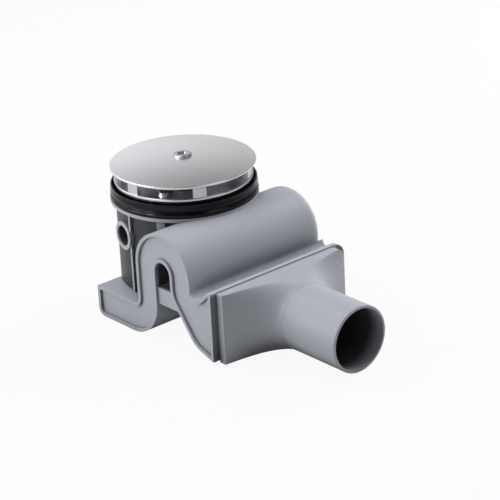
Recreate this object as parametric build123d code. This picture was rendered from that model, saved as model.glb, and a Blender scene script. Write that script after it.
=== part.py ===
from build123d import *
from math import sqrt
import os

# Shower trap, in millimetres. The origin is on the inlet axis, at the plane where the shower tray
# rests on the lip seal. +X runs to the outlet, +Z is up, and -Y is the side with the let-in plate.

# Cover cap and its screw
cap_radius = 54.5
cap_rise = 4.2
cap_thickness = 1.2
cap_rim_z = 12.5
cap_hem_depth = 1.6
cap_hem_width = 1.3
cap_edge_chamfer = 0.35
cap_screw_head_radius = 7.0
cap_screw_head_height = 1.5
cap_screw_head_round = 1.0
cap_screw_radius = 2.5
cap_screw_length = 12.5
cap_socket_flats = 7.0
cap_socket_depth = 1.3
cap_washer_thickness = 0.8
cap_washer_radius = 7.2

# Strainer crown between the cap and the tray
crown_overhang = 0.4
crown_flange_thickness = 2.0
crown_bore_radius = 35.5
crown_neck_wall = 2.5
crown_neck_depth = 9.0
crown_ledge_width = 2.5
crown_ledge_thickness = 1.5
upper_ring_low = 9.4
upper_ring_high = 11.2
upper_ring_width = 5.5
crown_edge_chamfer = 0.4
post_count = 6
post_first_angle = 34.0
post_width = 10.0
post_depth = 3.0
post_setback = 0.8
post_sink = 0.2
arm_count = 3
arm_width = 5.0
hub_radius = 8.0
hub_low = 2.5
cushion_setback = 2.5
cushion_width = 2.0
cushion_seat_depth = 0.8
cushion_cap_gap = 0.1
crown_gasket_setback = 1.1
crown_gasket_width = 3.5
crown_gasket_thickness = 1.0

# Screws that clamp the crown to the housing
flange_screw_count = 3
flange_screw_first_angle = 60.0
flange_screw_circle = 41.0
flange_screw_radius = 2.5
flange_screw_hole_radius = 2.9
flange_screw_head_radius = 4.2
flange_screw_head_height = 2.6
flange_screw_head_chamfer = 1.0
flange_screw_slot_width = 1.2
flange_screw_slot_depth = 1.2
flange_washer_radius = 4.8
flange_washer_thickness = 0.6
insert_radius = 3.6
insert_length = 6.0
insert_recess = 0.4
thread_gap = 0.06
screw_reach_past_insert = 0.8
insert_boss_radius = 4.7

# Lip seal under the tray
seal_height = 11.9
seal_screw_gap = 0.3
seal_body_width = 5.6
seal_lip_reach = 4.0
seal_foot_height = 3.6
seal_lip_thickness = 1.7
seal_lip_top = -1.5
seal_rib_setback = 0.7
seal_lip_gap = 1.3
seal_edge_chamfer = 0.5
seal_shoulder_drop = 1.0

# Hair strainer
strainer_gap = 0.3
strainer_rim_width = 2.2
strainer_floor_z = -11.5
strainer_wall = 1.4
strainer_slot_count = 16
strainer_slot_width = 2.4
strainer_slot_inner_radius = 9.0
strainer_slot_outer_radius = 29.0
strainer_grip_radius = 3.2
strainer_grip_height = 9.0

# Inlet housing: ring, fins and side port boss
ring_thickness = 2.6
ring_setback = 0.1
ring_bore_gap = 0.3
fin_setback = 1.9
fin_thickness = 1.8
fin_angles = [90.0, 270.0]
shoulder_fin_width = 6.5
shoulder_fin_angles = [59.0, 301.0]
fin_gap = 0.1
port_angle = 260.0
port_z = -34.2
port_reach = 2.5
port_outer_radius = 11.0
port_bore_radius = 8.0
port_mouth_chamfer = 0.4
port_seal_wall = 1.4
port_seal_reach = 1.2

# Inlet cup
cup_radius = 51.6
cup_wall = 2.5
cup_floor = 3.6
cup_saddle_gap = 0.3
cup_opening_left = -25.0
cup_opening_right = 8.5
cup_opening_half_width = 36.0
cup_collar_wall = 2.0
cup_collar_depth = 2.3
cup_collar_gap = 0.2
cup_gasket_width = 3.0
cup_gasket_thickness = 1.2

# Trap body, drawn in the XZ plane
body_half_width = 64.6
body_wall = 2.5
trough_left = -30.7
trough_top = -76.8
trough_bottom = -100.7
trough_bottom_left_round = 6.5
trough_top_left_round = 0.8
riser_root_round = 5.0
arch_x = 49.4
arch_z = -43.5
hump_radius = 30.3
slot_radius = 8.5
valley_z = -53.0
valley_right = 88.5
valley_round = 4.5
valley_end_round = 8.0
lip_x = 98.6
lip_z = -43.4
lip_round = 3.5
end_x = 102.6
end_bottom = -96.4
leg_turn_z = -58.8
leg_turn_round = 20.0
leg_knee_x = 82.4
leg_knee_z = -90.2
leg_knee_round = 24.0
back_edge_round = 8.0
end_corner_round = 10.0
rim_width = 2.6
rim_height = 2.1
plate_thickness = 2.5
plate_gap = 0.15
plate_ledge_width = 1.7
plate_ledge_depth = 2.0
web_top = -57.0
web_bottom = -70.0
web_thickness = 2.0
web_root = 1.0

# Outlet opening and adapter
outlet_half_width = 54.0
outlet_top = -49.8
outlet_bottom = -91.6
outlet_corner_round = 4.0
collar_gap = 0.3
collar_length = 5.0
flange_half_width = 58.8
flange_top = -44.4
flange_bottom = -98.1
flange_thickness = 6.2
flange_back_round = 8.0
adapter_wall = 2.4
outlet_gasket_width = 2.5
outlet_gasket_offset = 0.6
outlet_gasket_thickness = 1.5
flare_length = 23.4
flare_sections = 7
flare_spacing_power = 2.0
flare_width_power = 1.95
flare_round_power = 8.0
flare_root_round = 1.5
flare_inside_shift = 1.5
flare_step = 0.12
flare_flat = 0.1
spigot_radius = 25.0
spigot_wall = 2.0
spigot_z = -73.2
spigot_end_x = 186.0
spigot_end_chamfer = 0.5

# Sizes that follow from the ones above
dome_radius = (cap_radius**2 + cap_rise**2) / (2 * cap_rise)
cap_top_z = cap_rim_z + cap_rise
cap_under_z = cap_top_z - cap_thickness
washer_top = cap_rim_z - sqrt(dome_radius**2 - cap_radius**2) + sqrt(
    (dome_radius - cap_thickness) ** 2 - cap_washer_radius**2
)
hub_top = washer_top - cap_washer_thickness
neck_radius = crown_bore_radius + crown_neck_wall
ring_top = -seal_height
ring_bottom = ring_top - ring_thickness
ring_inner_radius = neck_radius + ring_bore_gap
seal_inner_radius = flange_screw_circle + insert_boss_radius + seal_screw_gap
seal_body_radius = seal_inner_radius + seal_body_width
seal_outer_radius = seal_body_radius + seal_lip_reach
crown_radius = seal_body_radius + crown_overhang
upper_ring_inner_radius = crown_radius - upper_ring_width
cushion_radius = crown_radius - cushion_setback
crown_gasket_outer_radius = seal_body_radius - crown_gasket_setback
crown_gasket_inner_radius = crown_gasket_outer_radius - crown_gasket_width
ring_radius = seal_outer_radius - ring_setback
fin_radius = ring_radius - fin_setback
port_face_radius = cup_radius + port_reach
riser_left = arch_x - hump_radius
riser_right = arch_x - slot_radius
leg_left = arch_x + slot_radius
leg_right = arch_x + hump_radius
front_y = -body_half_width
plate_front_y = front_y + rim_height
plate_back_y = plate_front_y + plate_thickness
flare_start_x = end_x + flange_thickness
flare_end_x = flare_start_x + flare_length
centred_low = (Align.CENTER, Align.CENTER, Align.MIN)
from_axis = (Align.MIN, Align.CENTER, Align.MIN)


def disc(radius, low, high):
    return Pos(0, 0, low) * Cylinder(radius, high - low, align=centred_low)


def ring(outer, inner, low, high):
    """A flat ring about the inlet axis."""
    return disc(outer, low, high) - disc(inner, low, high)


def turned(outline):
    """A solid turned about the inlet axis from an outline in radius and height."""
    return revolve(Plane.XZ * make_face(outline), axis=Axis.Z)


def slab(sketch, y_front, y_back):
    """A sketch in X and Z, drawn out along Y."""
    return extrude(Plane.XZ.offset(-y_front) * sketch, amount=y_front - y_back)


def rectangle(left, right, low, high):
    return Pos((left + right) / 2, (low + high) / 2) * Rectangle(right - left, high - low)


def around(piece, count, first_angle, radius=0.0):
    """Copies of a piece at even turns about the inlet axis, moved out by a radius."""
    step = 360.0 / count
    return [Rot(0, 0, first_angle + step * i) * Pos(radius, 0, 0) * piece for i in range(count)]


def dome_z(radius, sphere_radius):
    """Height of a dome over its rim, for a dome with its centre on the inlet axis."""
    return cap_rim_z - sqrt(dome_radius**2 - cap_radius**2) + sqrt(sphere_radius**2 - radius**2)


def outer_circles(piece):
    """The widest whole circles among a turned piece's edges."""
    circles = piece.edges().filter_by(GeomType.CIRCLE).filter_by(lambda edge: edge.is_closed)
    return circles.group_by(SortBy.RADIUS)[-1]


def at_flange_screws(piece):
    """One copy of a piece at each of the screws that clamp the crown to the housing."""
    return around(piece, flange_screw_count, flange_screw_first_angle, flange_screw_circle)


# The channel's outline: a trough, a riser, a hump and a leg that widens to the outlet
def channel(inset=0.0):
    right_side = FilletPolyline(
        (leg_right, arch_z),
        (leg_right, valley_z),
        (valley_right, valley_z),
        (lip_x, lip_z),
        (end_x, lip_z),
        (end_x, end_bottom),
        (leg_knee_x, leg_knee_z),
        (leg_left, leg_turn_z),
        (leg_left, arch_z),
        radius=[valley_round, valley_end_round, lip_round, 0, 0, leg_knee_round, leg_turn_round],
    )
    left_side = FilletPolyline(
        (riser_right, arch_z),
        (riser_right, trough_bottom),
        (trough_left, trough_bottom),
        (trough_left, trough_top),
        (riser_left, trough_top),
        (riser_left, arch_z),
        radius=[hump_radius, trough_bottom_left_round, trough_top_left_round, riser_root_round],
    )
    slot_arch = CenterArc((arch_x, arch_z), slot_radius, 0, 180)
    hump_arch = CenterArc((arch_x, arch_z), hump_radius, 0, 180)
    outline = make_face([*right_side.edges(), *slot_arch.edges(), *left_side.edges(), *hump_arch.edges()])
    if inset:
        return offset(outline, -inset)
    return outline


def saddle(gap):
    """The channel grown by a gap: what the inlet cup and the ring straddle."""
    slot = rectangle((riser_left + riser_right) / 2, leg_left, trough_bottom, arch_z + slot_radius)
    return slab(channel(-gap) + slot, front_y, body_half_width)


def cover_cap():
    rim_in = cap_radius - cap_hem_width
    inner_sphere = dome_radius - cap_thickness
    hem_z = cap_rim_z - cap_hem_depth
    top = RadiusArc((cap_radius, cap_rim_z), (0, cap_top_z), -dome_radius)
    under = RadiusArc((0, cap_under_z), (rim_in, dome_z(rim_in, inner_sphere)), inner_sphere)
    rim_under_z = dome_z(rim_in, inner_sphere)
    hem = Polyline((rim_in, rim_under_z), (rim_in, hem_z), (cap_radius, hem_z), (cap_radius, cap_rim_z))
    axis = Line((0, cap_top_z), (0, cap_under_z))
    shell = turned([*top.edges(), *axis.edges(), *under.edges(), *hem.edges()])
    shell = chamfer(outer_circles(shell), cap_edge_chamfer)
    return shell - disc(cap_screw_radius + thread_gap, hem_z, cap_top_z)


def cap_screw():
    head = disc(cap_screw_head_radius, cap_top_z, cap_top_z + cap_screw_head_height)
    head = fillet(head.edges().group_by(Axis.Z)[-1], cap_screw_head_round)
    socket = extrude(RegularPolygon(cap_socket_flats / 2, 6, major_radius=False), -cap_socket_depth)
    shank = disc(cap_screw_radius, cap_top_z - cap_screw_length, cap_top_z)
    return head + shank - Pos(0, 0, cap_top_z + cap_screw_head_height) * socket


def cap_washer():
    return ring(cap_washer_radius, cap_screw_radius + thread_gap, hub_top, washer_top)


def cap_insert():
    top = hub_top - insert_recess
    return ring(insert_radius, cap_screw_radius + thread_gap, top - insert_length, top)


def cap_cushion():
    half = cushion_width / 2
    inner_sphere = dome_radius - cap_thickness
    top = dome_z(cushion_radius + half, inner_sphere) - cushion_cap_gap
    return ring(cushion_radius + half, cushion_radius - half, upper_ring_high - cushion_seat_depth, top)


def strainer_crown():
    flange = ring(crown_radius, crown_bore_radius, 0, crown_flange_thickness)
    neck = ring(neck_radius, crown_bore_radius, -crown_neck_depth, crown_flange_thickness)
    ledge_top = crown_ledge_thickness - crown_neck_depth
    ledge = ring(neck_radius, crown_bore_radius - crown_ledge_width, -crown_neck_depth, ledge_top)
    upper = ring(crown_radius, upper_ring_inner_radius, upper_ring_low, upper_ring_high)
    flange = chamfer(outer_circles(flange), crown_edge_chamfer)
    upper = chamfer(outer_circles(upper), crown_edge_chamfer)
    post_outer = crown_radius - post_setback
    post_low = crown_flange_thickness - post_sink
    post_ring = ring(post_outer, post_outer - post_depth, post_low, upper_ring_low + post_sink)
    post_box = Box(crown_radius, post_width, upper_ring_high, align=from_axis)
    posts = [box & post_ring for box in around(post_box, post_count, post_first_angle)]
    arm_height = upper_ring_high - upper_ring_low
    arm = Box(upper_ring_inner_radius + post_sink, arm_width, arm_height, align=from_axis)
    arms = around(Pos(0, 0, upper_ring_low) * arm, arm_count, post_first_angle)
    hub = disc(hub_radius, hub_low, hub_top)
    body = flange + neck + ledge + upper + hub
    for piece in posts + arms:
        body += piece
    insert_top = hub_top - insert_recess
    body -= disc(insert_radius + thread_gap, insert_top - insert_length, hub_top)
    body -= disc(cap_screw_radius + thread_gap, hub_low, hub_top)
    half = cushion_width / 2
    seat_low = upper_ring_high - cushion_seat_depth
    body -= ring(cushion_radius + half, cushion_radius - half, seat_low, upper_ring_high)
    body -= ring(crown_gasket_outer_radius, crown_gasket_inner_radius, 0, crown_gasket_thickness)
    hole = disc(flange_screw_hole_radius, 0, crown_flange_thickness)
    for cut in at_flange_screws(hole):
        body -= cut
    return body


def crown_gasket():
    return ring(crown_gasket_outer_radius, crown_gasket_inner_radius, 0, crown_gasket_thickness)


def hair_strainer():
    rim_low = -crown_neck_depth + crown_ledge_thickness
    rim_radius = crown_bore_radius - strainer_gap
    wall_radius = rim_radius - strainer_rim_width - crown_ledge_thickness
    dish = disc(wall_radius, strainer_floor_z, rim_low + strainer_wall)
    dish += disc(rim_radius, rim_low, rim_low + strainer_wall)
    dish -= disc(wall_radius - strainer_wall, strainer_floor_z + strainer_wall, rim_low + strainer_wall)
    dish += disc(strainer_grip_radius, strainer_floor_z, strainer_floor_z + strainer_grip_height)
    length = strainer_slot_outer_radius - strainer_slot_inner_radius
    middle = (strainer_slot_outer_radius + strainer_slot_inner_radius) / 2
    slot = Pos(0, 0, strainer_floor_z) * Box(length, strainer_slot_width, strainer_wall, align=centred_low)
    for cut in around(slot, strainer_slot_count, 0, middle):
        dish -= cut
    return dish


def flange_washers():
    low = crown_flange_thickness
    washer = ring(flange_washer_radius, flange_screw_hole_radius, low, low + flange_washer_thickness)
    return Compound(children=at_flange_screws(washer))


def flange_screws():
    seat = crown_flange_thickness + flange_washer_thickness
    tip = ring_top - insert_recess - insert_length - screw_reach_past_insert
    head = disc(flange_screw_head_radius, seat, seat + flange_screw_head_height)
    head = chamfer(head.edges().group_by(Axis.Z)[-1], flange_screw_head_chamfer)
    slot_z = seat + flange_screw_head_height - flange_screw_slot_depth
    slot_length = 2 * flange_screw_head_radius
    slot = Box(slot_length, flange_screw_slot_width, flange_screw_slot_depth, align=centred_low)
    screw = head + disc(flange_screw_radius, tip, seat) - Pos(0, 0, slot_z) * slot
    return Compound(children=at_flange_screws(screw))


def flange_inserts():
    top = ring_top - insert_recess
    insert = ring(insert_radius, flange_screw_radius + thread_gap, top - insert_length, top)
    return Compound(children=at_flange_screws(insert))


def lip_seal():
    """A body that the flange rests on, and two lips outside it that bear on the tray's underside."""
    foot_top = ring_top + seal_foot_height
    step = foot_top + seal_lip_gap
    rib_radius = seal_outer_radius - seal_rib_setback
    lip_in = rib_radius - seal_lip_thickness
    foot_in = seal_outer_radius - seal_lip_thickness
    groove = ring_top + seal_foot_height / 2
    outline = Polyline(
        (seal_inner_radius, ring_top),
        (seal_outer_radius, ring_top),
        (seal_outer_radius, foot_top - seal_edge_chamfer),
        (seal_outer_radius - seal_edge_chamfer, foot_top),
        (foot_in, foot_top),
        (foot_in, step),
        (rib_radius, step),
        (rib_radius, seal_lip_top - seal_edge_chamfer),
        (rib_radius - seal_edge_chamfer, seal_lip_top),
        (lip_in, seal_lip_top),
        (lip_in, groove),
        (seal_body_radius, groove),
        (seal_body_radius, -seal_shoulder_drop),
        (seal_body_radius - seal_shoulder_drop, 0),
        (seal_inner_radius, 0),
        close=True,
    )
    return turned(outline)


def inlet_housing():
    body = ring(ring_radius, ring_inner_radius, ring_bottom, ring_top)
    inner = cup_radius + fin_gap
    shell = ring(fin_radius, inner, trough_top, ring_bottom)
    blade = Box(ring_radius, fin_thickness, ring_bottom - trough_top, align=from_axis)
    block = Box(ring_radius, shoulder_fin_width, ring_bottom - arch_z, align=from_axis)
    for angle in fin_angles:
        body += Rot(0, 0, angle) * Pos(0, 0, trough_top) * blade & shell
    for angle in shoulder_fin_angles:
        body += Rot(0, 0, angle) * Pos(0, 0, arch_z) * block & shell
    boss = disc(insert_boss_radius, ring_bottom - insert_length, ring_top)
    for piece in at_flange_screws(boss):
        body += piece
    port = disc(port_outer_radius, 0, port_face_radius)
    port = chamfer(port.edges().group_by(Axis.Z)[-1], port_mouth_chamfer)
    body += at_port(port) - disc(inner, trough_top, ring_bottom)
    body -= at_port(disc(port_bore_radius, 0, port_face_radius))
    body -= port_sleeve(port_bore_radius + port_seal_wall)
    top = ring_top - insert_recess
    hole = disc(insert_radius + thread_gap, top - insert_length, ring_top)
    tip_hole = disc(flange_screw_hole_radius, ring_bottom - insert_length, ring_top)
    for cut in at_flange_screws(hole + tip_hole):
        body -= cut
    return body - saddle(fin_gap)


def at_port(piece):
    """A piece drawn upwards from the origin, laid along the side port's axis."""
    return Pos(0, 0, port_z) * Rot(0, 0, port_angle) * Rot(0, 90, 0) * piece


def port_sleeve(radius):
    """The sleeve's outer form: it bridges the boss and the wall of the cup."""
    cup_inside = cup_radius - cup_wall
    sleeve_radius = port_bore_radius + port_seal_wall
    start = sqrt(cup_inside**2 - sleeve_radius**2)
    return at_port(disc(radius, start, cup_radius + port_seal_reach))


def port_seal():
    return port_sleeve(port_bore_radius + port_seal_wall - thread_gap) - port_sleeve(port_bore_radius)


def cup_hole(grow, low, high):
    """The rectangular opening between the cup and the trough, grown on each side."""
    left = cup_opening_left - grow
    right = cup_opening_right + grow
    wide = 2 * (cup_opening_half_width + grow)
    middle = (left + right) / 2
    return Pos(middle, 0, low) * Box(right - left, wide, high - low, align=centred_low)


def inlet_cup():
    floor_top = trough_top + cup_floor
    shell = disc(cup_radius, trough_top, ring_bottom) - saddle(cup_saddle_gap)
    room = disc(cup_radius - cup_wall, floor_top, ring_bottom) - saddle(cup_saddle_gap + cup_wall)
    shell -= room
    shell += cup_hole(cup_collar_wall, trough_top - cup_collar_depth, floor_top)
    shell -= cup_hole(0, trough_top - cup_collar_depth, floor_top)
    shell -= cup_gasket_form(cup_gasket_thickness)
    room = disc(insert_boss_radius + fin_gap, ring_bottom - insert_length, ring_bottom)
    for cut in at_flange_screws(room):
        shell -= cut
    return shell - port_sleeve(port_bore_radius + port_seal_wall)


def cup_gasket_form(thickness):
    outer = cup_hole(cup_collar_wall + cup_gasket_width, trough_top, trough_top + thickness)
    return outer - cup_hole(cup_collar_wall, trough_top, trough_top + thickness)


def cup_gasket():
    return cup_gasket_form(cup_gasket_thickness)


def back_sliver(inset):
    """What is taken off where the hump's back edge is rounded, outside or inside by the wall."""
    left = riser_left + inset
    right = leg_right - inset
    crown = CenterArc((arch_x, arch_z), hump_radius - inset, 0, 180)
    sides = Polyline((left, arch_z), (left, valley_z), (right, valley_z), (right, arch_z))
    block = slab(make_face([*crown.edges(), *sides.edges()]), 0, body_half_width - inset)
    back_edges = block.edges().group_by(Axis.Y)[-1]
    return block - fillet(back_edges.sort_by(Axis.Z)[1:], back_edge_round - inset)


def far_corner(half_width, top, radius, inset, start, end):
    """What is taken off along X where a far top corner is rounded, outside or inside by an inset."""
    square = Rectangle(radius, radius, align=(Align.MIN, Align.MIN))
    rounded = Pos(half_width - radius, top - radius) * (square - Circle(radius - inset))
    return extrude(Plane.YZ.offset(start) * rounded, end - start)


def end_corner(inset):
    return far_corner(body_half_width, lip_z, end_corner_round, inset, valley_right, end_x)


def trap_body():
    ledge_y = plate_back_y + plate_ledge_depth
    shell = slab(channel(), front_y, body_half_width) - back_sliver(0) - end_corner(0)
    waterway = slab(channel(body_wall), ledge_y, body_half_width - body_wall)
    waterway = waterway - back_sliver(body_wall) - end_corner(body_wall)
    shell -= waterway
    shell -= slab(channel(rim_width), front_y, plate_back_y)
    shell -= slab(channel(rim_width + plate_ledge_width), plate_back_y, ledge_y)
    shell -= cup_hole(cup_collar_wall + cup_collar_gap, trough_top - 2 * body_wall, trough_top)
    shell -= Pos(end_x - body_wall, 0, 0) * outlet_form(0, 2 * body_wall)
    bridge = rectangle(riser_right - web_root, leg_left + hump_radius, web_bottom, web_top)
    return shell + slab(bridge - channel(web_root), plate_front_y, plate_front_y + web_thickness)


def side_plate():
    return slab(channel(rim_width + plate_gap), plate_front_y, plate_back_y)


def outlet_form(grow, depth):
    """The outlet's rounded opening, grown on each side, running along X from the origin's plane."""
    wide = 2 * (outlet_half_width + grow)
    high = outlet_top - outlet_bottom + 2 * grow
    mouth = RectangleRounded(wide, high, outlet_corner_round + grow)
    return extrude(Plane.YZ * Pos(0, (outlet_top + outlet_bottom) / 2) * mouth, depth)


def outlet_gasket():
    outer = outlet_form(outlet_gasket_offset + outlet_gasket_width, outlet_gasket_thickness)
    return Pos(end_x, 0, 0) * (outer - outlet_form(outlet_gasket_offset, outlet_gasket_thickness))


def flare(inset):
    """The flare from the flat flange to the round spigot, or its inside when an inset is given."""
    end_radius = spigot_radius + flare_step
    sections = []
    for i in range(flare_sections + 1):
        t = (i / flare_sections) ** flare_spacing_power
        half_wide = end_radius + (flange_half_width - end_radius) * (1 - t) ** flare_width_power - inset
        half_high = (flange_top - flange_bottom) / 2 * (1 - t) + end_radius * t - inset
        middle = (flange_top + flange_bottom) / 2 * (1 - t) + spigot_z * t
        roundness = 1 - (1 - t) ** flare_round_power
        corner = flare_root_round + (end_radius - flare_flat - flare_root_round) * roundness - inset
        corner = min(max(corner, flare_root_round), half_high - flare_flat)
        outline = RectangleRounded(2 * half_wide, 2 * half_high, corner)
        sections.append(Plane.YZ.offset(flare_start_x + flare_length * t) * Pos(0, middle) * outline)
    return loft(sections)


def flange_corner(inset):
    return far_corner(flange_half_width, flange_top, flange_back_round, inset, end_x, flare_end_x)


def outlet_adapter():
    high = flange_top - flange_bottom
    outline = Pos(0, (flange_top + flange_bottom) / 2) * Rectangle(2 * flange_half_width, high)
    flange = extrude(Plane.YZ.offset(end_x) * outline, flange_thickness)
    body = flange + flare(0) - flange_corner(0)
    start = Pos(flare_end_x - spigot_wall, 0, spigot_z) * Rot(0, 90, 0)
    length = spigot_end_x - flare_end_x + spigot_wall
    pipe = start * Cylinder(spigot_radius, length, align=centred_low)
    body += chamfer(pipe.edges().group_by(Axis.X)[-1], spigot_end_chamfer)
    body += Pos(end_x - collar_length, 0, 0) * outlet_form(-collar_gap, collar_length)
    hollow = outlet_form(-collar_gap - adapter_wall, collar_length + flange_thickness)
    body -= Pos(end_x - collar_length, 0, 0) * hollow
    body -= Pos(-flare_inside_shift, 0, 0) * flare(adapter_wall) - flange_corner(adapter_wall)
    body -= start * Cylinder(spigot_radius - spigot_wall, length, align=centred_low)
    return body - outlet_gasket()


pieces = {
    "cover_cap": cover_cap,
    "cap_screw": cap_screw,
    "cap_washer": cap_washer,
    "cap_insert": cap_insert,
    "cap_cushion": cap_cushion,
    "strainer_crown": strainer_crown,
    "crown_gasket": crown_gasket,
    "hair_strainer": hair_strainer,
    "flange_screws": flange_screws,
    "flange_washers": flange_washers,
    "flange_inserts": flange_inserts,
    "lip_seal": lip_seal,
    "inlet_housing": inlet_housing,
    "port_seal": port_seal,
    "inlet_cup": inlet_cup,
    "cup_gasket": cup_gasket,
    "trap_body": trap_body,
    "side_plate": side_plate,
    "outlet_gasket": outlet_gasket,
    "outlet_adapter": outlet_adapter,
}

os.makedirs("parts", exist_ok=True)
for name, build in pieces.items():
    print("building", name)
    export_step(build(), f"parts/{name}.step")
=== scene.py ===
import bpy
import math
from mathutils import Matrix, Vector


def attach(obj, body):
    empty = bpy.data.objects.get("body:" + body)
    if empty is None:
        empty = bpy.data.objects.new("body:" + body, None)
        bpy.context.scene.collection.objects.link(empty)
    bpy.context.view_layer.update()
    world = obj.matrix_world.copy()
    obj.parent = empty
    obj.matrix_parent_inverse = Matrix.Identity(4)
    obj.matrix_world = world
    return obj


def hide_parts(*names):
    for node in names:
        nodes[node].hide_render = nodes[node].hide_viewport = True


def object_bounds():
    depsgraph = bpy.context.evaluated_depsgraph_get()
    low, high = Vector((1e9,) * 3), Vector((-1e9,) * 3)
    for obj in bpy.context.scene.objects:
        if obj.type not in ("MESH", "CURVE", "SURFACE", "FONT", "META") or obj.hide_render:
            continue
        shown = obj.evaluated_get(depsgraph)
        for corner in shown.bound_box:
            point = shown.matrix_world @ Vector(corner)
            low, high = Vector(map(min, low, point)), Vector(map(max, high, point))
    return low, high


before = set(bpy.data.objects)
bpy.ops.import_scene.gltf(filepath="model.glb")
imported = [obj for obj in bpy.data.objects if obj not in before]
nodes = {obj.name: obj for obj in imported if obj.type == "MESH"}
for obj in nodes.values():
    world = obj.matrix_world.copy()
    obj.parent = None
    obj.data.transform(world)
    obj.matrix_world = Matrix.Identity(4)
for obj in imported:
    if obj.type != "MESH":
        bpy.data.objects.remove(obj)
scene = bpy.context.scene


def listBox(box):
    return [list(box[0]), list(box[1])]


cadBox = listBox(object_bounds())
print("frame loaded:", len(nodes), "nodes")

# The photograph's long lens, a little rolled
viewpoint = {
    "target": (0.0509, 0.0178, -0.0508),
    "azimuth": 50.0,
    "elevation": 23.5,
    "roll": 3.0,
    "distance": 1.63,
    "lens": 158.4,
    "sensor": 36.0,
    "clipStart": 0.05,
    "clipEnd": 20.0,
}


def backwards(azimuth, elevation):
    a, e = math.radians(azimuth), math.radians(elevation)
    return Vector((math.sin(a) * math.cos(e), -math.cos(a) * math.cos(e), math.sin(e)))


def facing(place, back):
    return Matrix.Translation(place) @ back.to_track_quat("Z", "Y").to_matrix().to_4x4()


def makeCamera(view):
    data = bpy.data.cameras.new("viewCamera")
    data.lens = view["lens"]
    data.sensor_width = view["sensor"]
    data.clip_start = view["clipStart"]
    data.clip_end = view["clipEnd"]
    camera = bpy.data.objects.new("viewCamera", data)
    scene.collection.objects.link(camera)
    back = backwards(view["azimuth"], view["elevation"])
    place = Vector(view["target"]) + back * view["distance"]
    rolled = Matrix.Rotation(math.radians(-view["roll"]), 4, "Z")
    camera.matrix_world = facing(place, back) @ rolled
    scene.camera = camera


makeCamera(viewpoint)
print("camera set")


# Short forms for node work
def newNode(tree, kind, **values):
    node = tree.nodes.new(kind)
    for key, value in values.items():
        setattr(node, key, value)
    return node


def feed(tree, source, target):
    if hasattr(source, "is_output"):
        tree.links.new(source, target)
    else:
        target.default_value = source


def maths(tree, operation, first, second=0.0, clamp=False):
    node = newNode(tree, "ShaderNodeMath", operation=operation, use_clamp=clamp)
    feed(tree, first, node.inputs[0])
    feed(tree, second, node.inputs[1])
    return node.outputs[0]


def squared(tree, value):
    return maths(tree, "MULTIPLY", value, value)


def spread(tree, value, low, high, toLow=0.0, toHigh=1.0):
    node = newNode(tree, "ShaderNodeMapRange", interpolation_type="SMOOTHSTEP")
    feed(tree, value, node.inputs["Value"])
    for label, number in (("From Min", low), ("From Max", high), ("To Min", toLow), ("To Max", toHigh)):
        node.inputs[label].default_value = number
    return node.outputs["Result"]


def mixColour(tree, amount, first, second):
    node = newNode(tree, "ShaderNodeMix", data_type="RGBA")  # its colour sockets come after the others
    feed(tree, amount, node.inputs[0])
    feed(tree, first, node.inputs[6])
    feed(tree, second, node.inputs[7])
    return node.outputs[2]


# Studio: floor and backdrop are white to the eye, shaded in reflections and plain for the light
studio = {
    "floorHalf": 3.0,
    "floorColour": (0.55, 0.55, 0.55, 1.0),  # what the paper throws back on the trap
    "floorWhite": 0.93,  # share of plain white in view, the rest keeps the shadow
    "mirroredLeft": 0.78,  # share of white that gloss sees in the floor, left and right
    "mirroredRight": 0.10,
    "mirroredFrom": -0.10,
    "mirroredTo": 0.30,
    "worldFill": 0.28,
    "horizonGloss": 1.34,  # what gloss sees, from the horizon up to the ceiling
    "ceilingGloss": 0.10,
    "ceilingStart": 0.27,
    "ceilingEnd": 0.85,
    "glossSide": (-0.64, -0.77, 0.0),  # towards the brightest wall
    "glossEven": 0.75,
    "glossLean": 1.20,
    "glossLeast": 0.40,
    "glossMost": 0.90,
    "lampsAimAt": (0.05, 0.0, -0.04),
}


def bareRay(tree, rays):
    return maths(tree, "MAXIMUM", rays.outputs["Is Glossy Ray"], rays.outputs["Is Transmission Ray"])


def makeWorld():
    world = bpy.data.worlds.new("studioWorld")
    scene.world = world
    world.use_nodes = True
    tree = world.node_tree
    tree.nodes.clear()
    output = newNode(tree, "ShaderNodeOutputWorld")
    rays = newNode(tree, "ShaderNodeLightPath")
    place = newNode(tree, "ShaderNodeTexCoord")
    split = newNode(tree, "ShaderNodeSeparateXYZ")
    tree.links.new(place.outputs["Generated"], split.inputs[0])
    high = spread(tree, split.outputs["Z"], studio["ceilingStart"], studio["ceilingEnd"],
                  studio["horizonGloss"], studio["ceilingGloss"])
    side = newNode(tree, "ShaderNodeVectorMath", operation="DOT_PRODUCT")
    tree.links.new(place.outputs["Generated"], side.inputs[0])
    side.inputs[1].default_value = studio["glossSide"]
    lean = maths(tree, "MULTIPLY", side.outputs["Value"], studio["glossLean"])
    lean = maths(tree, "ADD", lean, studio["glossEven"])
    lean = maths(tree, "MAXIMUM", lean, studio["glossLeast"])
    lean = maths(tree, "MINIMUM", lean, studio["glossMost"])
    gloss = maths(tree, "MULTIPLY", high, lean)
    lit = newNode(tree, "ShaderNodeBackground")
    lit.inputs["Strength"].default_value = studio["worldFill"]
    mirrored = newNode(tree, "ShaderNodeBackground")
    tree.links.new(gloss, mirrored.inputs["Strength"])
    seen = newNode(tree, "ShaderNodeBackground")
    inMirror = newNode(tree, "ShaderNodeMixShader")
    tree.links.new(bareRay(tree, rays), inMirror.inputs[0])
    tree.links.new(lit.outputs[0], inMirror.inputs[1])
    tree.links.new(mirrored.outputs[0], inMirror.inputs[2])
    inView = newNode(tree, "ShaderNodeMixShader")
    tree.links.new(rays.outputs["Is Camera Ray"], inView.inputs[0])
    tree.links.new(inMirror.outputs[0], inView.inputs[1])
    tree.links.new(seen.outputs[0], inView.inputs[2])
    tree.links.new(inView.outputs[0], output.inputs["Surface"])


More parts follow.
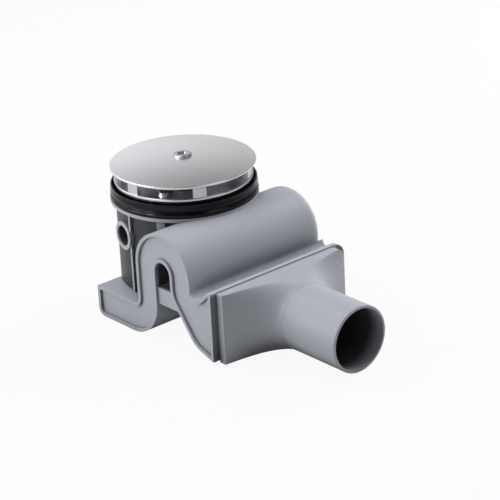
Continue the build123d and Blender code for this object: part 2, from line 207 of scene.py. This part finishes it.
def makeFloor():
    half = studio["floorHalf"]
    low = cadBox[0][2]
    mesh = bpy.data.meshes.new("studioFloor")
    corners = [(-half, -half, low), (half, -half, low), (half, half, low), (-half, half, low)]
    mesh.from_pydata(corners, [], [(0, 1, 2, 3)])
    floor = bpy.data.objects.new("studioFloor", mesh)
    scene.collection.objects.link(floor)
    material = bpy.data.materials.new("floorPaper")
    material.use_nodes = True
    tree = material.node_tree
    tree.nodes.clear()
    output = newNode(tree, "ShaderNodeOutputMaterial")
    paper = newNode(tree, "ShaderNodeBsdfDiffuse")
    paper.inputs["Color"].default_value = studio["floorColour"]
    white = newNode(tree, "ShaderNodeEmission")
    rays = newNode(tree, "ShaderNodeLightPath")
    bare = bareRay(tree, rays)
    side = newNode(tree, "ShaderNodeVectorMath", operation="DOT_PRODUCT")
    tree.links.new(newNode(tree, "ShaderNodeTexCoord").outputs["Object"], side.inputs[0])
    side.inputs[1].default_value = studio["glossSide"]
    mirrored = spread(tree, side.outputs["Value"], studio["mirroredFrom"], studio["mirroredTo"],
                      studio["mirroredRight"], studio["mirroredLeft"])
    seen = maths(tree, "MULTIPLY", rays.outputs["Is Camera Ray"], studio["floorWhite"])
    shown = maths(tree, "MAXIMUM", seen, maths(tree, "MULTIPLY", bare, mirrored))
    mix = newNode(tree, "ShaderNodeMixShader")
    tree.links.new(shown, mix.inputs[0])
    tree.links.new(paper.outputs[0], mix.inputs[1])
    tree.links.new(white.outputs[0], mix.inputs[2])
    tree.links.new(mix.outputs[0], output.inputs["Surface"])
    mesh.materials.append(material)


# Soft boxes: where each stands, its width and height, its watts, and whether it shows in gloss.
# The back ones would glare along the tops when seen from in front, so they light the colour only.
softBoxes = {
    "overheadBox": {"stand": (-50.0, 66.0, 1.2), "face": (0.9, 0.7), "watts": 5.8, "glare": True},
    "frontLeftBox": {"stand": (-32.0, 24.0, 1.3), "face": (0.6, 0.9), "watts": 5.4, "glare": True},
    "frontStrip": {"stand": (-8.0, 27.0, 1.3), "face": (0.12, 0.22), "watts": 3.8, "glare": True},
    "leftBox": {"stand": (-76.0, 40.0, 1.3), "face": (0.7, 0.7), "watts": 2.5, "glare": True},
    "backBox": {"stand": (184.0, 12.0, 1.4), "face": (0.9, 0.5), "watts": 12.0, "glare": False},
    "backTopBox": {"stand": (172.0, 42.0, 1.3), "face": (0.7, 0.7), "watts": 10.0, "glare": False},
    "rightTopBox": {"stand": (112.0, 50.0, 1.3), "face": (0.6, 0.6), "watts": 1.2, "glare": True},
}


def makeLights():
    middle = Vector(studio["lampsAimAt"])
    for name, box in softBoxes.items():
        data = bpy.data.lights.new(name, "AREA")
        data.shape = "RECTANGLE"
        data.size, data.size_y = box["face"]
        data.energy = box["watts"]
        lamp = bpy.data.objects.new(name, data)
        scene.collection.objects.link(lamp)
        azimuth, elevation, distance = box["stand"]
        back = backwards(azimuth, elevation)
        lamp.matrix_world = facing(middle + back * distance, back)
        lamp.visible_glossy = box["glare"]


makeWorld()
makeFloor()
makeLights()
scene.view_settings.view_transform = "Standard"
print("studio set")


# Effects that several finishes share
def newGroup(name, inputs, outputs):
    group = bpy.data.node_groups.new(name, "ShaderNodeTree")
    for label, value in inputs.items():
        socket = group.interface.new_socket(name=label, in_out="INPUT", socket_type="NodeSocketFloat")
        socket.default_value = value
    for label in outputs:
        group.interface.new_socket(name=label, in_out="OUTPUT", socket_type="NodeSocketFloat")
    return group, newNode(group, "NodeGroupInput"), newNode(group, "NodeGroupOutput")


def place3d(tree):
    return newNode(tree, "ShaderNodeTexCoord").outputs["Object"]


def noise(tree, scale, detail, rough, where=None):
    node = newNode(tree, "ShaderNodeTexNoise")
    tree.links.new(where or place3d(tree), node.inputs["Vector"])
    feed(tree, scale, node.inputs["Scale"])
    node.inputs["Detail"].default_value = detail
    node.inputs["Roughness"].default_value = rough
    return node.outputs["Fac"]


# Rubbed edges: where a rounded normal leaves the true one
edgeLook = {"samples": 6, "flat": 0.985, "sharp": 0.80, "patchLow": 0.30, "patchHigh": 0.62}


def makeEdgeGroup():
    sockets = {"Radius": 0.0006, "Amount": 0.5, "Breakup": 180.0}
    group, given, result = newGroup("edgeRub", sockets, ["Edge"])
    bevel = newNode(group, "ShaderNodeBevel", samples=edgeLook["samples"])
    group.links.new(given.outputs["Radius"], bevel.inputs["Radius"])
    shape = newNode(group, "ShaderNodeNewGeometry")
    dot = newNode(group, "ShaderNodeVectorMath", operation="DOT_PRODUCT")
    group.links.new(bevel.outputs[0], dot.inputs[0])
    group.links.new(shape.outputs["Normal"], dot.inputs[1])
    turn = spread(group, dot.outputs["Value"], edgeLook["flat"], edgeLook["sharp"])
    broken = noise(group, given.outputs["Breakup"], detail=4.0, rough=0.6)
    patchy = spread(group, broken, edgeLook["patchLow"], edgeLook["patchHigh"])
    edge = maths(group, "MULTIPLY", turn, patchy)
    edge = maths(group, "MULTIPLY", edge, given.outputs["Amount"], True)
    group.links.new(edge, result.inputs["Edge"])
    return group


# Moulded grain: fine and middle spark for the height, slow flow marks for the tone
grainLook = {"middleScale": 420.0, "fineShare": 0.65, "middleShare": 0.35, "dull": 0.35, "bright": 0.65}


def makeGrainGroup():
    sockets = {"Spark scale": 2600.0, "Flow scale": 28.0, "Flow amount": 0.5}
    group, given, result = newGroup("mouldGrain", sockets, ["Height", "Tone", "Sheen"])
    fine = noise(group, given.outputs["Spark scale"], detail=2.0, rough=0.6)
    middle = noise(group, grainLook["middleScale"], detail=3.0, rough=0.55)
    flow = noise(group, given.outputs["Flow scale"], detail=3.0, rough=0.5)
    fineHeight = maths(group, "MULTIPLY", fine, grainLook["fineShare"])
    middleHeight = maths(group, "MULTIPLY", middle, grainLook["middleShare"])
    group.links.new(maths(group, "ADD", fineHeight, middleHeight), result.inputs["Height"])
    tone = maths(group, "MULTIPLY", maths(group, "SUBTRACT", flow, 0.5), given.outputs["Flow amount"])
    group.links.new(maths(group, "ADD", tone, 0.5, True), result.inputs["Tone"])
    sheen = spread(group, middle, grainLook["dull"], grainLook["bright"])
    group.links.new(sheen, result.inputs["Sheen"])
    return group


# Handling: slanted hair lines in patches, and settled dust
scuffLook = {
    "slant": (0.5, 0.3, 0.9),
    "pullZ": 3.0,
    "hairWide": 0.012,
    "hairThin": 0.002,
    "whereScale": 22.0,
    "whereLow": 0.52,
    "whereHigh": 0.66,
    "dustScale": 34.0,
    "dustLow": 0.45,
    "dustHigh": 0.80,
}


def makeScuffGroup():
    sockets = {"Scale": 60.0, "Stretch": 14.0, "Cover": 0.5}
    group, given, result = newGroup("handlingScuff", sockets, ["Scuff", "Dust"])
    place = place3d(group)
    stretch = newNode(group, "ShaderNodeCombineXYZ")
    stretch.inputs["X"].default_value = 1.0
    group.links.new(given.outputs["Stretch"], stretch.inputs["Y"])
    stretch.inputs["Z"].default_value = scuffLook["pullZ"]
    slanted = newNode(group, "ShaderNodeVectorRotate", rotation_type="EULER_XYZ")
    slanted.inputs["Rotation"].default_value = scuffLook["slant"]
    group.links.new(place, slanted.inputs["Vector"])
    pulled = newNode(group, "ShaderNodeVectorMath", operation="MULTIPLY")
    group.links.new(slanted.outputs[0], pulled.inputs[0])
    group.links.new(stretch.outputs[0], pulled.inputs[1])
    lines = noise(group, given.outputs["Scale"], detail=5.0, rough=0.7, where=pulled.outputs[0])
    fromLine = maths(group, "ABSOLUTE", maths(group, "SUBTRACT", lines, 0.5))
    hair = spread(group, fromLine, scuffLook["hairWide"], scuffLook["hairThin"])
    handled = noise(group, scuffLook["whereScale"], detail=2.0, rough=0.5)
    where = spread(group, handled, scuffLook["whereLow"], scuffLook["whereHigh"])
    scuff = maths(group, "MULTIPLY", hair, where)
    scuff = maths(group, "MULTIPLY", scuff, given.outputs["Cover"], True)
    group.links.new(scuff, result.inputs["Scuff"])
    settled = noise(group, scuffLook["dustScale"], detail=3.0, rough=0.5)
    dust = spread(group, settled, scuffLook["dustLow"], scuffLook["dustHigh"])
    dust = maths(group, "MULTIPLY", dust, given.outputs["Cover"], True)
    group.links.new(dust, result.inputs["Dust"])
    return group


# Turned lines about the inlet's axis
turnedLook = {"detail": 4.0, "toneLow": 0.3, "toneHigh": 0.7}


def makeTurnedGroup():
    sockets = {"Rings per metre": 2600.0, "Across": 1.0}
    group, given, result = newGroup("turnedLines", sockets, ["Height", "Tone"])
    split = newNode(group, "ShaderNodeSeparateXYZ")
    group.links.new(place3d(group), split.inputs[0])
    flat = maths(group, "ADD", squared(group, split.outputs["X"]), squared(group, split.outputs["Y"]))
    radius = maths(group, "SQRT", flat)
    across = maths(group, "MULTIPLY", radius, given.outputs["Across"])
    reach = maths(group, "ADD", across, split.outputs["Z"])
    line = newNode(group, "ShaderNodeTexNoise", noise_dimensions="1D")
    group.links.new(maths(group, "MULTIPLY", reach, given.outputs["Rings per metre"]), line.inputs["W"])
    line.inputs["Scale"].default_value = 1.0
    line.inputs["Detail"].default_value = turnedLook["detail"]
    group.links.new(line.outputs["Fac"], result.inputs["Height"])
    tone = spread(group, line.outputs["Fac"], turnedLook["toneLow"], turnedLook["toneHigh"])
    group.links.new(tone, result.inputs["Tone"])
    return group


# Painted shade in the crevices: colour darkened where ambient occlusion finds them hidden, broken into
# patches
creviceShadeLook = {
    "samples": 8,
    "open": 0.70,
    "deep": 0.26,
    "patchScale": 55.0,
    "patchLow": 0.15,
    "patchHigh": 0.75,
    "leastPatch": 0.75,
}


def makeCreviceGroup():
    group, given, result = newGroup("creviceGrime", {"Reach": 0.03, "Amount": 0.6}, ["Grime"])
    around = newNode(group, "ShaderNodeAmbientOcclusion", samples=creviceShadeLook["samples"])
    group.links.new(given.outputs["Reach"], around.inputs["Distance"])
    hidden = spread(group, around.outputs["AO"], creviceShadeLook["open"], creviceShadeLook["deep"])
    spots = noise(group, creviceShadeLook["patchScale"], detail=4.0, rough=0.6)
    patchy = spread(group, spots, creviceShadeLook["patchLow"], creviceShadeLook["patchHigh"],
                    creviceShadeLook["leastPatch"])
    paintedShade = maths(group, "MULTIPLY", hidden, patchy)
    paintedShade = maths(group, "MULTIPLY", paintedShade, given.outputs["Amount"], True)
    group.links.new(paintedShade, result.inputs["Grime"])
    return group


edgeRub = makeEdgeGroup()
creviceGrime = makeCreviceGroup()
mouldGrain = makeGrainGroup()
handlingScuff = makeScuffGroup()
turnedLines = makeTurnedGroup()
print("shared effects built")


def useGroup(tree, group, values):
    node = newNode(tree, "ShaderNodeGroup", node_tree=group)
    for label, value in values.items():
        node.inputs[label].default_value = value
    return node


def newFinish(name):
    material = bpy.data.materials.new(name)
    material.use_nodes = True
    tree = material.node_tree
    tree.nodes.clear()
    output = newNode(tree, "ShaderNodeOutputMaterial")
    shader = newNode(tree, "ShaderNodeBsdfPrincipled")
    tree.links.new(shader.outputs[0], output.inputs["Surface"])
    return material, tree, shader


def bump(tree, shader, height, strength, distance):
    node = newNode(tree, "ShaderNodeBump")
    node.inputs["Strength"].default_value = strength
    node.inputs["Distance"].default_value = distance
    tree.links.new(height, node.inputs["Height"])
    tree.links.new(node.outputs[0], shader.inputs["Normal"])


def rgb(colour, gain=1.0):
    return tuple(channel * gain for channel in colour) + (1.0,)


# Moulded plastics: colour, roughness, flow marks, grain, rubbed edges and painted shade in the depths
mouldings = {
    "trapGrey": {
        "colour": (0.366, 0.383, 0.423), "rough": 0.46, "flow": 0.5,
        "grain": 0.05, "rub": 0.5, "depthShade": 0.92,
    },
    "plateGrey": {
        "colour": (0.372, 0.389, 0.430), "rough": 0.44, "flow": 0.4,
        "grain": 0.05, "rub": 0.5, "depthShade": 0.0,
    },
    "adapterGrey": {
        "colour": (0.338, 0.355, 0.394), "rough": 0.42, "flow": 0.5,
        "grain": 0.05, "rub": 0.5, "depthShade": 0.94,
    },
    "housingGrey": {
        "colour": (0.360, 0.377, 0.412), "rough": 0.42, "flow": 0.4,
        "grain": 0.05, "rub": 0.6, "depthShade": 0.0,
    },
    "cupBlack": {
        "colour": (0.019, 0.020, 0.024), "rough": 0.40, "flow": 0.6,
        "grain": 0.06, "rub": 0.4, "depthShade": 0.0,
    },
    "strainerBlack": {
        "colour": (0.030, 0.031, 0.035), "rough": 0.36, "flow": 0.3,
        "grain": 0.04, "rub": 0.3, "depthShade": 0.0,
    },
}

# Painted shade in the spigot's bore: its colour is taken to near black, fading out towards the mouth
bore = {"height": -0.0732, "clear": 0.0234, "fullShade": 0.0231, "mouth": 0.1858, "fade": 0.1700}


def makeBoreMask(tree):
    split = newNode(tree, "ShaderNodeSeparateXYZ")
    tree.links.new(place3d(tree), split.inputs[0])
    up = maths(tree, "SUBTRACT", split.outputs["Z"], bore["height"])
    flat = maths(tree, "ADD", squared(tree, up), squared(tree, split.outputs["Y"]))
    within = spread(tree, maths(tree, "SQRT", flat), bore["clear"], bore["fullShade"])
    deep = spread(tree, split.outputs["X"], bore["mouth"], bore["fade"])
    return maths(tree, "MULTIPLY", within, deep)


# Painted shade in the deep slot under the hump and on the step beside the adapter's flange, both
# darkened in their depth
gap = {
    "archPlace": 0.0494,
    "archHeight": -0.0435,
    "outside": 0.0092,
    "inside": 0.0088,
    "webTop": -0.0568,
    "webClear": -0.0564,
    "slotMouth": -0.0638,
    "slotDeep": -0.0600,
    "stepPlace": 0.1022,
    "stepInner": 0.0560,
    "stepOuter": 0.0575,
    "stepTop": -0.0449,
    "stepTurned": 0.80,
    "stepFacing": 0.95,
    "stepShade": 0.68,
}


def makeGapMask(tree):
    split = newNode(tree, "ShaderNodeSeparateXYZ")
    tree.links.new(place3d(tree), split.inputs[0])
    side, depth, high = split.outputs["X"], split.outputs["Y"], split.outputs["Z"]
    across = maths(tree, "SUBTRACT", side, gap["archPlace"])
    above = maths(tree, "MAXIMUM", maths(tree, "SUBTRACT", high, gap["archHeight"]), 0.0)
    flat = maths(tree, "ADD", squared(tree, across), squared(tree, above))
    within = spread(tree, maths(tree, "SQRT", flat), gap["outside"], gap["inside"])
    within = maths(tree, "MULTIPLY", within, spread(tree, high, gap["webTop"], gap["webClear"]))
    slot = maths(tree, "MULTIPLY", within, spread(tree, depth, gap["slotMouth"], gap["slotDeep"]))
    normal = newNode(tree, "ShaderNodeSeparateXYZ")
    tree.links.new(newNode(tree, "ShaderNodeNewGeometry").outputs["Normal"], normal.inputs[0])
    step = spread(tree, normal.outputs["X"], gap["stepTurned"], gap["stepFacing"])
    step = maths(tree, "MULTIPLY", step, maths(tree, "GREATER_THAN", side, gap["stepPlace"]))
    beside = spread(tree, maths(tree, "ABSOLUTE", depth), gap["stepInner"], gap["stepOuter"])
    step = maths(tree, "MULTIPLY", step, beside)
    step = maths(tree, "MULTIPLY", step, maths(tree, "LESS_THAN", high, gap["stepTop"]))
    return maths(tree, "MAXIMUM", slot, maths(tree, "MULTIPLY", step, gap["stepShade"]))


# Which mouldings get painted shade in their depths, and the mask that places it
depthShadeMasks = {"adapterGrey": makeBoreMask, "trapGrey": makeGapMask}

# What all mouldings share: gains on their own colour, marks, wear, the painted shade in crevices and
# the colour of the painted shade in the depths
mouldLook = {
    "deepTone": 0.93,
    "paleTone": 1.07,
    "paintedShadeTone": 0.16,
    "paintedShadeReach": 0.035,
    "paintedShadeAmount": 0.9,
    "rubbedWhite": 0.35,
    "rubbedTone": 0.75,
    "scuffCover": 0.5,
    "scuffShown": 0.22,
    "scuffTone": 1.6,
    "sheenRough": 0.08,
    "dustRough": 0.12,
    "depthShadeColour": (0.012, 0.012, 0.014),
    "depthShadeRough": 0.4,
    "ior": 1.5,
    "grainDeep": 0.0004,
}


def makeMoulding(name):
    look = mouldings[name]
    colour = look["colour"]
    white = mouldLook["rubbedWhite"]
    material, tree, shader = newFinish(name)
    grain = useGroup(tree, mouldGrain, {"Flow amount": look["flow"]})
    rub = useGroup(tree, edgeRub, {"Amount": look["rub"]})
    scuff = useGroup(tree, handlingScuff, {"Cover": mouldLook["scuffCover"]})
    paintedShade = useGroup(tree, creviceGrime,
                     {"Reach": mouldLook["paintedShadeReach"], "Amount": mouldLook["paintedShadeAmount"]})
    clean = mixColour(tree, grain.outputs["Tone"], rgb(colour, mouldLook["deepTone"]),
                      rgb(colour, mouldLook["paleTone"]))
    # Painted shade: colour darkened in the crevices
    body = mixColour(tree, paintedShade.outputs["Grime"], clean, rgb(colour, mouldLook["paintedShadeTone"]))
    paled = [white + (1 - white) * channel for channel in colour]
    rubbed = mixColour(tree, rub.outputs["Edge"], body, rgb(paled, mouldLook["rubbedTone"]))
    scratched = maths(tree, "MULTIPLY", scuff.outputs["Scuff"], mouldLook["scuffShown"])
    marked = mixColour(tree, scratched, rubbed, rgb(colour, mouldLook["scuffTone"]))
    sheen = maths(tree, "MULTIPLY", grain.outputs["Sheen"], mouldLook["sheenRough"])
    dust = maths(tree, "MULTIPLY", scuff.outputs["Dust"], mouldLook["dustRough"])
    rough = maths(tree, "ADD", maths(tree, "ADD", look["rough"], sheen), dust, True)
    # Painted shade: the masked depths darkened to near black, and made rougher
    if look["depthShade"]:
        inside = maths(tree, "MULTIPLY", depthShadeMasks[name](tree), look["depthShade"])
        marked = mixColour(tree, inside, marked, rgb(mouldLook["depthShadeColour"]))
        rough = maths(tree, "ADD", rough, maths(tree, "MULTIPLY", inside, mouldLook["depthShadeRough"]), True)
    tree.links.new(marked, shader.inputs["Base Color"])
    tree.links.new(rough, shader.inputs["Roughness"])
    shader.inputs["IOR"].default_value = mouldLook["ior"]
    bump(tree, shader, grain.outputs["Height"], look["grain"], mouldLook["grainDeep"])
    return material


# Plated and plain metals
metals = {
    "chromeCover": {"colour": (0.79, 0.80, 0.825), "rough": 0.27, "lines": 0.010, "across": 1.0},
    "chromeScrew": {"colour": (0.52, 0.53, 0.55), "rough": 0.24, "lines": 0.012, "across": 1.0},
    "chromeCrown": {"colour": (0.58, 0.59, 0.61), "rough": 0.26, "lines": 0.006, "across": 0.0},
    "brassTurned": {"colour": (0.78, 0.60, 0.28), "rough": 0.24, "lines": 0.06, "across": 0.3},
    "stainlessBright": {"colour": (0.42, 0.42, 0.43), "rough": 0.24, "lines": 0.05, "across": 0.4},
    "stainlessPressed": {"colour": (0.58, 0.58, 0.60), "rough": 0.30, "lines": 0.04, "across": 1.0},
}

# What all metals share
metalLook = {
    "deepTone": 0.96,
    "paleTone": 1.02,
    "wornColour": (0.93, 0.93, 0.94),
    "rubAmount": 0.4,
    "rubRadius": 0.0004,
    "scuffCover": 0.6,
    "scuffScale": 90.0,
    "dustRough": 0.03,
    "scuffRough": 0.03,
    "linesDeep": 0.0003,
}


def makeMetal(name):
    look = metals[name]
    colour = look["colour"]
    material, tree, shader = newFinish(name)
    turned = useGroup(tree, turnedLines, {"Across": look["across"]})
    rub = useGroup(tree, edgeRub, {"Amount": metalLook["rubAmount"], "Radius": metalLook["rubRadius"]})
    scuff = useGroup(tree, handlingScuff,
                     {"Cover": metalLook["scuffCover"], "Scale": metalLook["scuffScale"]})
    body = mixColour(tree, turned.outputs["Tone"], rgb(colour, metalLook["deepTone"]),
                     rgb(colour, metalLook["paleTone"]))
    worn = mixColour(tree, rub.outputs["Edge"], body, rgb(metalLook["wornColour"]))
    tree.links.new(worn, shader.inputs["Base Color"])
    shader.inputs["Metallic"].default_value = 1.0
    haze = maths(tree, "MULTIPLY", scuff.outputs["Dust"], metalLook["dustRough"])
    fine = maths(tree, "MULTIPLY", scuff.outputs["Scuff"], metalLook["scuffRough"])
    rough = maths(tree, "ADD", look["rough"], maths(tree, "ADD", haze, fine), True)
    tree.links.new(rough, shader.inputs["Roughness"])
    bump(tree, shader, turned.outputs["Height"], look["lines"], metalLook["linesDeep"])
    return material


# Rubbers and the pressed fibre washer. Shine is how strongly they mirror, and clear is the share
# of light that they let through.
softs = {
    "sealRubber": {
        "colour": (0.003, 0.003, 0.005), "rough": 0.17, "flow": 0.3,
        "grain": 0.015, "shine": 0.21, "clear": 0.0,
    },
    "flatRubber": {
        "colour": (0.035, 0.035, 0.038), "rough": 0.62, "flow": 0.5,
        "grain": 0.12, "shine": 0.4, "clear": 0.0,
    },
    "clearRubber": {
        "colour": (0.70, 0.71, 0.70), "rough": 0.30, "flow": 0.2,
        "grain": 0.04, "shine": 0.5, "clear": 0.55,
    },
    "pressedFibre": {
        "colour": (0.42, 0.10, 0.05), "rough": 0.72, "flow": 0.9,
        "grain": 0.25, "shine": 0.4, "clear": 0.0,
    },
}

# What all soft pieces share
softLook = {
    "sparkScale": 1800.0,
    "scuffCover": 0.6,
    "scuffScale": 45.0,
    "deepTone": 0.85,
    "paleTone": 1.15,
    "bloomColour": (0.30, 0.30, 0.31),
    "bloomShown": 0.02,
    "dustRough": 0.18,
    "grainDeep": 0.0004,
}


def makeSoft(name):
    look = softs[name]
    colour = look["colour"]
    material, tree, shader = newFinish(name)
    grain = useGroup(tree, mouldGrain,
                     {"Flow amount": look["flow"], "Spark scale": softLook["sparkScale"]})
    scuff = useGroup(tree, handlingScuff,
                     {"Cover": softLook["scuffCover"], "Scale": softLook["scuffScale"]})
    body = mixColour(tree, grain.outputs["Tone"], rgb(colour, softLook["deepTone"]),
                     rgb(colour, softLook["paleTone"]))
    dusty = maths(tree, "MULTIPLY", scuff.outputs["Dust"], softLook["bloomShown"])
    bloom = mixColour(tree, dusty, body, rgb(softLook["bloomColour"]))
    tree.links.new(bloom, shader.inputs["Base Color"])
    dust = maths(tree, "MULTIPLY", scuff.outputs["Dust"], softLook["dustRough"])
    tree.links.new(maths(tree, "ADD", look["rough"], dust, True), shader.inputs["Roughness"])
    shader.inputs["Specular IOR Level"].default_value = look["shine"]
    shader.inputs["Transmission Weight"].default_value = look["clear"]
    bump(tree, shader, grain.outputs["Height"], look["grain"], softLook["grainDeep"])
    return material


finishes = {name: makeMoulding(name) for name in mouldings}
finishes.update({name: makeMetal(name) for name in metals})
finishes.update({name: makeSoft(name) for name in softs})
print("finishes made:", len(finishes))

# Which finish each carried node wears
wearing = {
    "cover_cap": "chromeCover",
    "cap_screw": "chromeScrew",
    "cap_washer": "pressedFibre",
    "cap_insert": "brassTurned",
    "cap_cushion": "clearRubber",
    "strainer_crown": "chromeCrown",
    "crown_gasket": "flatRubber",
    "hair_strainer": "strainerBlack",
    "flange_screws": "stainlessBright",
    "flange_washers": "stainlessPressed",
    "flange_inserts": "brassTurned",
    "lip_seal": "sealRubber",
    "inlet_housing": "housingGrey",
    "port_seal": "flatRubber",
    "inlet_cup": "cupBlack",
    "cup_gasket": "flatRubber",
    "trap_body": "trapGrey",
    "side_plate": "plateGrey",
    "outlet_gasket": "flatRubber",
    "outlet_adapter": "adapterGrey",
}
for nodeName, finishName in wearing.items():
    nodes[nodeName].data.materials[0] = finishes[finishName]
print("finishes given to", len(wearing), "nodes")

# The lip seal with its rounded foot and lips: radius, height and corner round, in millimetres
millimetresInMetre = 1000
sealLook = {
    "outline": [
        (46.0, -11.9, 0.3), (55.2, -11.9, 0.4), (55.6, -11.2, 0.6), (55.3, -9.4, 1.6),
        (54.0, -8.1, 0.7), (53.6, -7.5, 0.4), (55.0, -6.9, 0.5), (55.3, -5.6, 0.9),
        (54.7, -3.2, 2.0), (54.8, -1.5, 0.5), (53.6, -1.5, 0.5), (53.2, -4.0, 1.0),
        (53.2, -10.1, 0.5), (51.6, -10.1, 0.5), (51.6, -0.6, 0.8), (50.8, 0.0, 0.4),
        (46.0, 0.0, 0.3),
    ],
    "cornerSteps": 5,
    "mostOfSide": 0.45,
    "turns": 180,
}


def roundedLoop(corners, steps, most):
    loop = []
    for index, (radius, height, turn) in enumerate(corners):
        here = Vector((radius, height))
        before = Vector(corners[index - 1][:2]) - here
        after = Vector(corners[(index + 1) % len(corners)][:2]) - here
        reach = min(turn, most * before.length, most * after.length)
        start = here + before.normalized() * reach
        end = here + after.normalized() * reach
        for step in range(steps + 1):
            t = step / steps
            loop.append(start * (1 - t) ** 2 + here * 2 * t * (1 - t) + end * t**2)
    return loop


def turnedMesh(name, loop, turns):
    count = len(loop)
    points = []
    for turn in range(turns):
        angle = 2 * math.pi * turn / turns
        for point in loop:
            x, y, z = point.x * math.cos(angle), point.x * math.sin(angle), point.y
            points.append((x / millimetresInMetre, y / millimetresInMetre, z / millimetresInMetre))
    faces = []
    for turn in range(turns):
        here, there = turn * count, (turn + 1) % turns * count
        for index in range(count):
            following = (index + 1) % count
            faces.append((here + index, there + index, there + following, here + following))
    mesh = bpy.data.meshes.new(name)
    mesh.from_pydata(points, [], faces)
    mesh.polygons.foreach_set("use_smooth", [True] * len(faces))
    mesh.update()
    return mesh


def addPiece(name, mesh, finish, replaced):
    piece = bpy.data.objects.new(name, mesh)
    scene.collection.objects.link(piece)
    mesh.materials.append(finishes[finish])
    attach(piece, "root")
    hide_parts(replaced)


sealLoop = roundedLoop(sealLook["outline"], sealLook["cornerSteps"], sealLook["mostOfSide"])
sealMesh = turnedMesh("lipSealRounded", sealLoop, sealLook["turns"])
addPiece("lipSealRounded", sealMesh, "sealRubber", "lip_seal")
print("lip seal turned")
